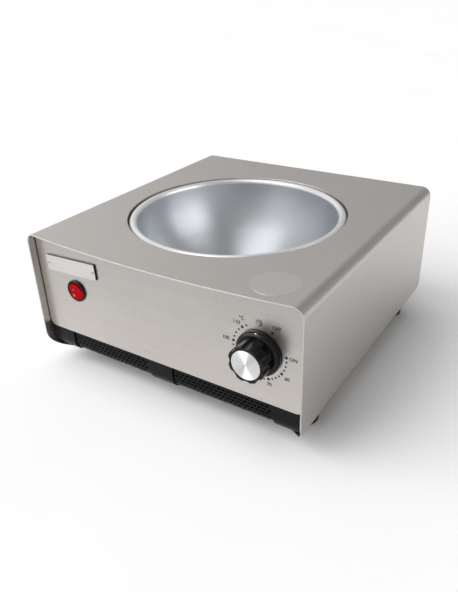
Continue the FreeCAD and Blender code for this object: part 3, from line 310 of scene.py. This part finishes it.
def turned_cap():
    """Fine concentric turning on the knob's cap."""
    material = new_material("cap_turned", CAP_COLOUR, 1.0, CAP_ROUGH[0],
                            Anisotropic=0.95, Anisotropic_Rotation=ACROSS)
    radius = polar_tangent(material, node_centre("knob_cap"), DEPTHWAYS)
    rings = ring_noise(material, radius, CAP_RINGS, detail=2)
    link(material, remap(material, rings, *CAP_ROUGH), shader_of(material).inputs["Roughness"])
    add_bump(material, rings, *CAP_BUMP, CAP_EDGE)
    return material


SMEAR_SCALE = 60
GLOSSIER, DULLER = 0.85, 1.2
SMEAR_DARKER, SMEAR_LIGHTER = 0.9, 1.12
GRAIN_DEPTH = 0.08 * MM


def moulded(name, base, roughness, scale=900, strength=0.15, **sockets):
    """Moulded plastic, rubber or enamel with a slight texture and uneven gloss."""
    material = new_material(name, base, 0.0, roughness, **sockets)
    shader = shader_of(material)
    grain = noise(material, scale)
    smear = noise(material, SMEAR_SCALE)
    gloss = remap(material, smear, roughness * GLOSSIER, roughness * DULLER)
    link(material, gloss, shader.inputs["Roughness"])
    add_bump(material, grain, strength, GRAIN_DEPTH)
    tint = mix_colours(material, remap(material, smear, 0.0, 1.0),
                       scaled(base, SMEAR_DARKER), scaled(base, SMEAR_LIGHTER))
    link(material, tint, shader.inputs["Base Color"])
    return material


# The materials, and what wears them

BRUSHED_BACK, BRUSHED_ACROSS = (1.0, 0.06, 1.0), (0.06, 1.0, 1.0)
EASED = 0.5 * MM
# The cover's front-facing cut edge is painted lighter: a painted highlight.
CUT_EDGE_HIGHLIGHT = (-1.0, -0.6, (0.55, 0.53, 0.51))
# The name plate's sideways edges are painted near black: painted shade along its edges.
PLATE_SIDE_SHADE = (-0.6, 0.6, (0.03, 0.03, 0.03))
PANEL_LOW, PANEL_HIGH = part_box("front_panel")
# The panel steel is painted darker towards the front panel's top: painted shade, as under the cover's
# overhang, on every part that wears it.
PANEL_PAINTED_SHADE = (PANEL_LOW.z, PANEL_HIGH.z, (0.76, 0.77, 0.78))

top_steel = satin_steel("cover_steel", BRUSHED_BACK, (0.53, 0.500, 0.475), 0.31, edge=EASED, painted_light_by_facing=CUT_EDGE_HIGHLIGHT)
panel_steel = satin_steel("panel_steel", BRUSHED_ACROSS, (0.57, 0.538, 0.511), 0.30, shade=PANEL_PAINTED_SHADE)
plate_metal = satin_steel("plate_satin", BRUSHED_ACROSS, (0.60, 0.587, 0.57), 0.42, painted_light_by_facing=PLATE_SIDE_SHADE)
film = satin_steel("film_clear", EVEN, (0.56, 0.545, 0.518), 0.26)
bowl_metal = spun_bowl()
cap_metal = turned_cap()
plated = plain_metal("plated_sheet", (0.62, 0.62, 0.61), 0.35)
sheath = plain_metal("heater_sheath", (0.30, 0.28, 0.27), 0.45)
bright = plain_metal("fixing_steel", (0.72, 0.71, 0.70), 0.22)
shaft_metal = plain_metal("shaft_steel", (0.68, 0.67, 0.65), 0.25)
contact = plain_metal("contact_plating", (0.74, 0.66, 0.44), 0.28)
rivet_grey = plain_metal("rivet_grey", (0.34, 0.33, 0.32), 0.42)
enamel = moulded("tray_enamel", (0.004, 0.004, 0.0045), 0.34, scale=1400, strength=0.25,
                 Specular_IOR_Level=0.12)
knob_black = moulded("knob_gloss", (0.005, 0.005, 0.0055), 0.15, scale=600, strength=0.02,
                     Specular_IOR_Level=0.20)
bezel_black = moulded("bezel_gloss", (0.006, 0.006, 0.0065), 0.24, scale=1200, strength=0.08,
                      Specular_IOR_Level=0.22)
rocker_red = moulded("rocker_red", (0.34, 0.0003, 0.002), 0.30, strength=0.03,
                     Specular_IOR_Level=0.02)
lens_dark = moulded("lens_dark", (0.24, 0.225, 0.21), 0.09, scale=1500, strength=0.05,
                    Coat_Weight=0.6, Coat_Roughness=0.05)
lamp_black = moulded("lamp_body_black", (0.03, 0.03, 0.03), 0.5)
inlet_black = moulded("inlet_black", (0.018, 0.018, 0.018), 0.45)
glaze = moulded("block_glaze", (0.80, 0.78, 0.72), 0.25)
rubber = moulded("foot_rubber", (0.016, 0.016, 0.016), 0.62, scale=500, strength=0.3)
ink = moulded("dial_ink", (0.012, 0.012, 0.013), 0.45, scale=2000, strength=0.1)
mark_paint = moulded("mark_print", (0.66, 0.26, 0.27), 0.4, scale=1500, strength=0.05)
# Near black for the screws' cross recesses: painted shade.
recess_painted_shade = moulded("recess_painted_shade", (0.02, 0.02, 0.02), 0.6, scale=1500, strength=0.05)

SLOT_LOOKS = {
    "satin_steel": panel_steel, "black_tray": enamel, "bowl_aluminium": bowl_metal,
    "plated_sheet": plated, "heater_sheath": sheath, "fixings": bright,
    "thermostat_case": plated, "shaft_steel": shaft_metal, "knob_black": knob_black,
    "cap_aluminium": cap_metal, "switch_black": bezel_black, "switch_red": rocker_red,
    "terminal_metal": contact, "lamp_body": lamp_black, "lamp_lens": lens_dark,
    "plate_metal": plate_metal, "inlet_black": inlet_black, "terminal_ceramic": glaze,
    "foot_rubber": rubber,
}
NODE_LOOKS = {"cover": top_steel, "plate_rivet_1": rivet_grey, "plate_rivet_2": rivet_grey}
slot_of = {s["node"]: s["material_slot"] for s in frame["record"]["subparts"]}
for name, node in nodes.items():
    look = NODE_LOOKS.get(name, SLOT_LOOKS[slot_of[name]])
    for material_slot in node.material_slots:
        material_slot.material = look


# Helpers for new pieces

def finish_piece(piece, material, body):
    """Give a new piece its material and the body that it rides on."""
    piece.data.materials.append(material)
    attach(piece, body)
    return piece


def add_object(name, data):
    """An object with the data, linked to the scene."""
    thing = bpy.data.objects.new(name, data)
    bpy.context.scene.collection.objects.link(thing)
    return thing


def mesh_piece(name, builder, material, body):
    """A mesh object from a bmesh that builder fills."""
    mesh = bpy.data.meshes.new(name)
    shape = bmesh.new()
    builder(shape)
    shape.to_mesh(mesh)
    shape.free()
    return finish_piece(add_object(name, mesh), material, body)


def ring_point(centre, radius, turn, y):
    """A point on an upright ring that faces the front; turn is in radians."""
    return Vector((centre.x + radius * math.cos(turn), y, centre.z + radius * math.sin(turn)))


# Printed dial, flat on the front panel

PRINT_LIFT = 0.04 * MM
PRINT_Y = PANEL_LOW.y - PRINT_LIFT
DIAL_CENTRE = node_centre("knob")
DIAL_RADIUS = 25.1 * MM
DOT_BIG = 1.45 * MM
DOT_SMALL = 1.0 * MM
DOT_SIDES = 20
BIG_ANGLES = [61, 7, -34, -70, -110, -149, -189, -231]
SMALL_ANGLES = [-3, -13.5, -23.5, -242]
for first, last in zip(BIG_ANGLES[2:], BIG_ANGLES[3:]):
    SMALL_ANGLES += [first + (last - first) * part / 4 for part in (1, 2, 3)]


def build_dots(shape):
    """The scale's large and small dots."""
    for angles, radius in ((BIG_ANGLES, DOT_BIG), (SMALL_ANGLES, DOT_SMALL)):
        for degrees in angles:
            centre = ring_point(DIAL_CENTRE, DIAL_RADIUS, math.radians(degrees), PRINT_Y)
            place = Matrix.Translation(centre) @ FACE_FRONT
            bmesh.ops.create_circle(shape, cap_ends=True, segments=DOT_SIDES, radius=radius, matrix=place)


mesh_piece("dial_dots", build_dots, ink, "housing")

LABELS = [("OFF", 122.5, 105.5), ("ON", 137.6, 81.1), ("60", 132.3, 60.7), ("70", 115.7, 49.7),
          ("80", 96.1, 49.2), ("90", 79.8, 62.6), ("100", 74.2, 82.8), ("110", 85.1, 101.2),
          ("°C", 90.3, 106.1)]
LABEL_SIZE = 4.7 * MM
LABEL_WEIGHT = 0.14 * MM
LABEL_CURVE_STEPS = 3
FOOT_MM = 12.0


def add_label(text, x, height):
    """A word of the scale, centred at x and at a height above the feet, both in millimetres."""
    curve = bpy.data.curves.new("label", "FONT")
    curve.body = text
    curve.size = LABEL_SIZE
    curve.align_x = "CENTER"
    curve.align_y = "CENTER"
    curve.resolution_u = LABEL_CURVE_STEPS
    curve.offset = LABEL_WEIGHT
    holder = add_object("label", curve)
    bpy.context.view_layer.update()
    mesh = bpy.data.meshes.new_from_object(holder.evaluated_get(bpy.context.evaluated_depsgraph_get()))
    bpy.data.objects.remove(holder)
    mesh.transform(Matrix.Translation((x * MM, PRINT_Y, (height + FOOT_MM) * MM)) @ FACE_FRONT)
    mesh.materials.clear()
    name = "dial_label_" + "".join(c for c in text if c.isalnum())
    finish_piece(add_object(name, mesh), ink, "housing")


for label in LABELS:
    add_label(*label)


# Marks on the rocker, and flat dark crosses on the screws as painted shade for their recesses, laid on the
# surface below them

REACH = 0.05


def lay_on(shape, name, away):
    """Drop the flat shape on the node's surface, from the side that away points to."""
    mesh = nodes[name].data
    tree = BVHTree.FromPolygons([v.co for v in mesh.vertices], [p.vertices for p in mesh.polygons])
    for vert in shape.verts:
        vert.co = tree.ray_cast(vert.co + away * REACH, -away)[0] + away * PRINT_LIFT


ROCKER = node_centre("switch_rocker")
MARK_SHIFT = -3.1 * MM
BAR_HALF, BAR_TALL, BAR_Z = 0.28 * MM, 2.6 * MM, 1.0 * MM
BAR_STEPS = 6
RING_OUT, RING_IN, RING_Z = 1.35 * MM, 0.85 * MM, -4.9 * MM
RING_SIDES = 24


def build_bar(shape):
    """The upright stroke for on."""
    x = ROCKER.x + MARK_SHIFT
    rows = []
    for step in range(BAR_STEPS + 1):
        z = ROCKER.z + BAR_Z + BAR_TALL * (step / BAR_STEPS - 0.5)
        rows.append([shape.verts.new((x + side * BAR_HALF, ROCKER.y, z)) for side in (-1, 1)])
    for low, high in zip(rows, rows[1:]):
        shape.faces.new((low[0], low[1], high[1], high[0]))
    lay_on(shape, "switch_rocker", FRONT)


def build_ring(shape):
    """The ring for off."""
    centre = ROCKER + Vector((MARK_SHIFT, 0, RING_Z))
    turns = [math.tau * step / RING_SIDES for step in range(RING_SIDES)]
    outer, inner = ([shape.verts.new(ring_point(centre, radius, turn, ROCKER.y)) for turn in turns]
                    for radius in (RING_OUT, RING_IN))
    for step in range(RING_SIDES):
        after = (step + 1) % RING_SIDES
        shape.faces.new((outer[step], outer[after], inner[after], inner[step]))
    lay_on(shape, "switch_rocker", FRONT)


mesh_piece("rocker_mark_on", build_bar, mark_paint, "rocker")
mesh_piece("rocker_mark_off", build_ring, mark_paint, "rocker")

RECESS_LONG, RECESS_WIDE = 0.62, 0.16


def build_recess(screw):
    """A builder of a flat dark cross on a screw's head, painted shade for its cross recess."""
    low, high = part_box(screw)
    centre = (low + high) / 2
    head_radius = (high.x - low.x) / 2
    reach, half = head_radius * RECESS_LONG, head_radius * RECESS_WIDE

    def build(shape):
        """A quarter of the cross, mirrored twice, on the head."""
        outline = [(half, reach), (half, half), (reach, half)]
        outline += [(x, -z) for x, z in reversed(outline)]
        outline += [(-x, z) for x, z in reversed(outline)]
        shape.faces.new([shape.verts.new((centre.x + x, centre.y, centre.z + z)) for x, z in outline])
        lay_on(shape, screw, BACK)
    return build


SCREWS = ["rear_screw_%d" % n for n in (1, 2, 3, 4)] + ["inlet_screw_%d" % n for n in (1, 2)]
# Each screw gets a flat dark cross: painted shade for its cross recess.
for screw in SCREWS:
    mesh_piece(screw + "_recess", build_recess(screw), recess_painted_shade, "housing")


# Faceted lens of the pilot lamp

LENS_FACETS = 8
LENS_RINGS = [(1.0, 0.0, 0.0), (1.0, 0.25, 0.0), (0.80, 0.68, 0.5), (0.42, 1.0, 0.5)]


def build_lens(shape):
    """Rings of corners, each a share of the radius, a share of the depth and a part of a facet round."""
    low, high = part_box("lamp_lens")
    centre = (low + high) / 2
    radius = (high.x - low.x) / 2
    depth = high.y - low.y
    rims = []
    for share, rise, shift in LENS_RINGS:
        turns = [math.tau * (step + shift) / LENS_FACETS for step in range(LENS_FACETS)]
        rims.append([shape.verts.new(ring_point(centre, share * radius, turn, high.y - rise * depth))
                     for turn in turns])
    shape.faces.new(rims[0])
    shape.faces.new(reversed(rims[-1]))
    for under, over in zip(rims, rims[1:]):
        for step in range(LENS_FACETS):
            after = (step + 1) % LENS_FACETS
            shape.faces.new((under[step], over[step], over[after]))
            shape.faces.new((under[step], over[after], under[after]))
    bmesh.ops.recalc_face_normals(shape, faces=shape.faces)


lens = mesh_piece("lamp_lens_facets", build_lens, lens_dark, "housing")
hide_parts("lamp_lens")


# Bare clear film on the top, at the front right

FILM_X, FILM_Y = 111.6 * MM, -121.7 * MM
FILM_RADIUS = 20.5 * MM
FILM_THICK = 0.08 * MM
FILM_SIDES = 64


def build_film(shape):
    """A thin round sheet that lies on the cover."""
    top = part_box("cover")[1].z
    place = Matrix.Translation((FILM_X, FILM_Y, top + FILM_THICK / 2))
    bmesh.ops.create_cone(shape, cap_ends=True, segments=FILM_SIDES, radius1=FILM_RADIUS,
                          radius2=FILM_RADIUS - FILM_THICK, depth=FILM_THICK, matrix=place)


mesh_piece("top_film", build_film, film, "housing")


# Floor

FLOOR_HALF = 40.0
PAPER_DARK, PAPER_LIGHT = (0.92, 0.92, 0.92), (0.94, 0.94, 0.94)
PAPER_SCALE, PAPER_ROUGH = 3, 0.9


def build_floor():
    """A wide pale sheet of paper under the object."""
    mesh = bpy.data.meshes.new("floor")
    corners = [(x * FLOOR_HALF, y * FLOOR_HALF, 0) for x, y in ((-1, -1), (1, -1), (1, 1), (-1, 1))]
    mesh.from_pydata(corners, [], [(0, 1, 2, 3)])
    floor = add_object("floor", mesh)
    paper = new_material("floor_paper", PAPER_DARK, 0.0, PAPER_ROUGH)
    tone = mix_colours(paper, remap(paper, noise(paper, PAPER_SCALE), 0, 1), PAPER_DARK, PAPER_LIGHT)
    link(paper, tone, shader_of(paper).inputs["Base Color"])
    floor.data.materials.append(paper)


# Light: each fade is a direction, a span of its cosine and the sky's levels at the span's ends

BACK_FADE = (Vector((0.30, -0.94, 0.14)), (-1.0, -0.70), (0.35, 0.95))
RISE_FADE = (Vector((0, 0, 1)), (0.40, 0.90), (1.0, 0.55))
RIGHT_FADE = (Vector((-1, 0, 0)), (-0.20, 0.25), (0.50, 1.0))

# Soft lights, each from a direction, with its power and its width in degrees

WINDOW = (Vector((-0.66, -0.60, 0.43)), 2.15, 60)
OVERHEAD = (Vector((-0.27, -0.20, 0.94)), 0.9, 42)
BOWL_TOP = (Vector((-0.27, -0.20, 0.94)), 0.66, 42)
RIM = (Vector((0.84, 0.16, 0.40)), 0.95, 50)
GLINT = (Vector((-0.45, -0.28, 0.83)), 3.0, 6)


def sky_share(tree, toward, span, levels):
    """A value that goes from one level to the other as the sky turns toward a direction."""
    coords = tree.nodes.new("ShaderNodeTexCoord")
    dot = tree.nodes.new("ShaderNodeVectorMath")
    dot.operation = "DOT_PRODUCT"
    dot.inputs[1].default_value = toward.normalized()
    level = tree.nodes.new("ShaderNodeMapRange")
    for key, value in zip(("From Min", "From Max", "To Min", "To Max"), span + levels):
        level.inputs[key].default_value = value
    tree.links.new(coords.outputs["Generated"], dot.inputs[0])
    tree.links.new(dot.outputs["Value"], level.inputs["Value"])
    return level.outputs["Result"]


def build_sky():
    """A pale studio, dimmer behind the object, overhead and at the right."""
    world = bpy.data.worlds.new("studio")
    world.use_nodes = True
    tree = world.node_tree
    level = sky_share(tree, *BACK_FADE)
    for fade in (RISE_FADE, RIGHT_FADE):
        product = tree.nodes.new("ShaderNodeMath")
        product.operation = "MULTIPLY"
        tree.links.new(level, product.inputs[0])
        tree.links.new(sky_share(tree, *fade), product.inputs[1])
        level = product.outputs[0]
    tree.links.new(level, tree.nodes["Background"].inputs["Strength"])
    tree.nodes["Background"].inputs["Color"].default_value = (1, 1, 1, 1)
    bpy.context.scene.world = world


def add_softbox(name, source, power, width):
    """A distant soft light from the source's direction, width degrees across."""
    light = bpy.data.lights.new(name, "SUN")
    light.energy = power
    light.angle = math.radians(width)
    lamp = add_object(name, light)
    lamp.rotation_mode = "QUATERNION"
    lamp.rotation_quaternion = (-source).to_track_quat("-Z", "Y")
    return lamp


def link_light(lamp, name, state):
    """Light only the node, or all but the node."""
    group = bpy.data.collections.new(lamp.name + "_light")
    group.objects.link(nodes[name])
    group.collection_objects[0].light_linking.link_state = state
    lamp.light_linking.receiver_collection = group


def build_light():
    """The sky and the soft lights, with those that only the bowl or the knob gets."""
    build_sky()
    link_light(add_softbox("overhead", *OVERHEAD), "bowl", "EXCLUDE")
    link_light(add_softbox("bowl_top", *BOWL_TOP), "bowl", "INCLUDE")
    link_light(add_softbox("window", *WINDOW), "bowl", "EXCLUDE")
    link_light(add_softbox("rim", *RIM), "bowl", "INCLUDE")
    link_light(add_softbox("glint", *GLINT), "knob", "INCLUDE")


# Camera, with its focal length in pixels, its angles in degrees and its place in millimetres

FOCAL = 602.31
IMAGE_LONG = 592
SENSOR = 36
AZIMUTH, ELEVATION, ROLL = 33.88, 28.60, -2.06
SHIFT_X, SHIFT_Y, DISTANCE = -66.62, -92.75, 573.99
PANEL_DEPTH = 8
VIEW_ORIGIN = Vector((0, PANEL_LOW.y / MM - PANEL_DEPTH, FOOT_MM))
CLIP_NEAR, CLIP_FAR = 0.01, 200


def build_camera():
    """The camera at the photograph's viewing angle."""
    azimuth, elevation, roll = (math.radians(v) for v in (AZIMUTH, ELEVATION, ROLL))
    back = Vector((math.sin(azimuth) * math.cos(elevation), -math.cos(azimuth) * math.cos(elevation),
                   math.sin(elevation)))
    right = Vector((math.cos(azimuth), math.sin(azimuth), 0))
    up = back.cross(right)
    right, up = (math.cos(roll) * right + math.sin(roll) * up,
                 -math.sin(roll) * right + math.cos(roll) * up)
    turn = Matrix((right, up, back)).transposed()
    place = turn @ Vector((-SHIFT_X, -SHIFT_Y, DISTANCE)) + VIEW_ORIGIN
    camera = bpy.data.cameras.new("camera")
    camera.sensor_width = SENSOR
    camera.lens = SENSOR * FOCAL / IMAGE_LONG
    camera.clip_start, camera.clip_end = CLIP_NEAR, CLIP_FAR
    holder = add_object("camera", camera)
    holder.matrix_world = Matrix.Translation(place * MM) @ turn.to_4x4()
    bpy.context.scene.camera = holder


build_floor()
build_light()
build_camera()

bpy.context.scene.view_settings.view_transform = "Standard"
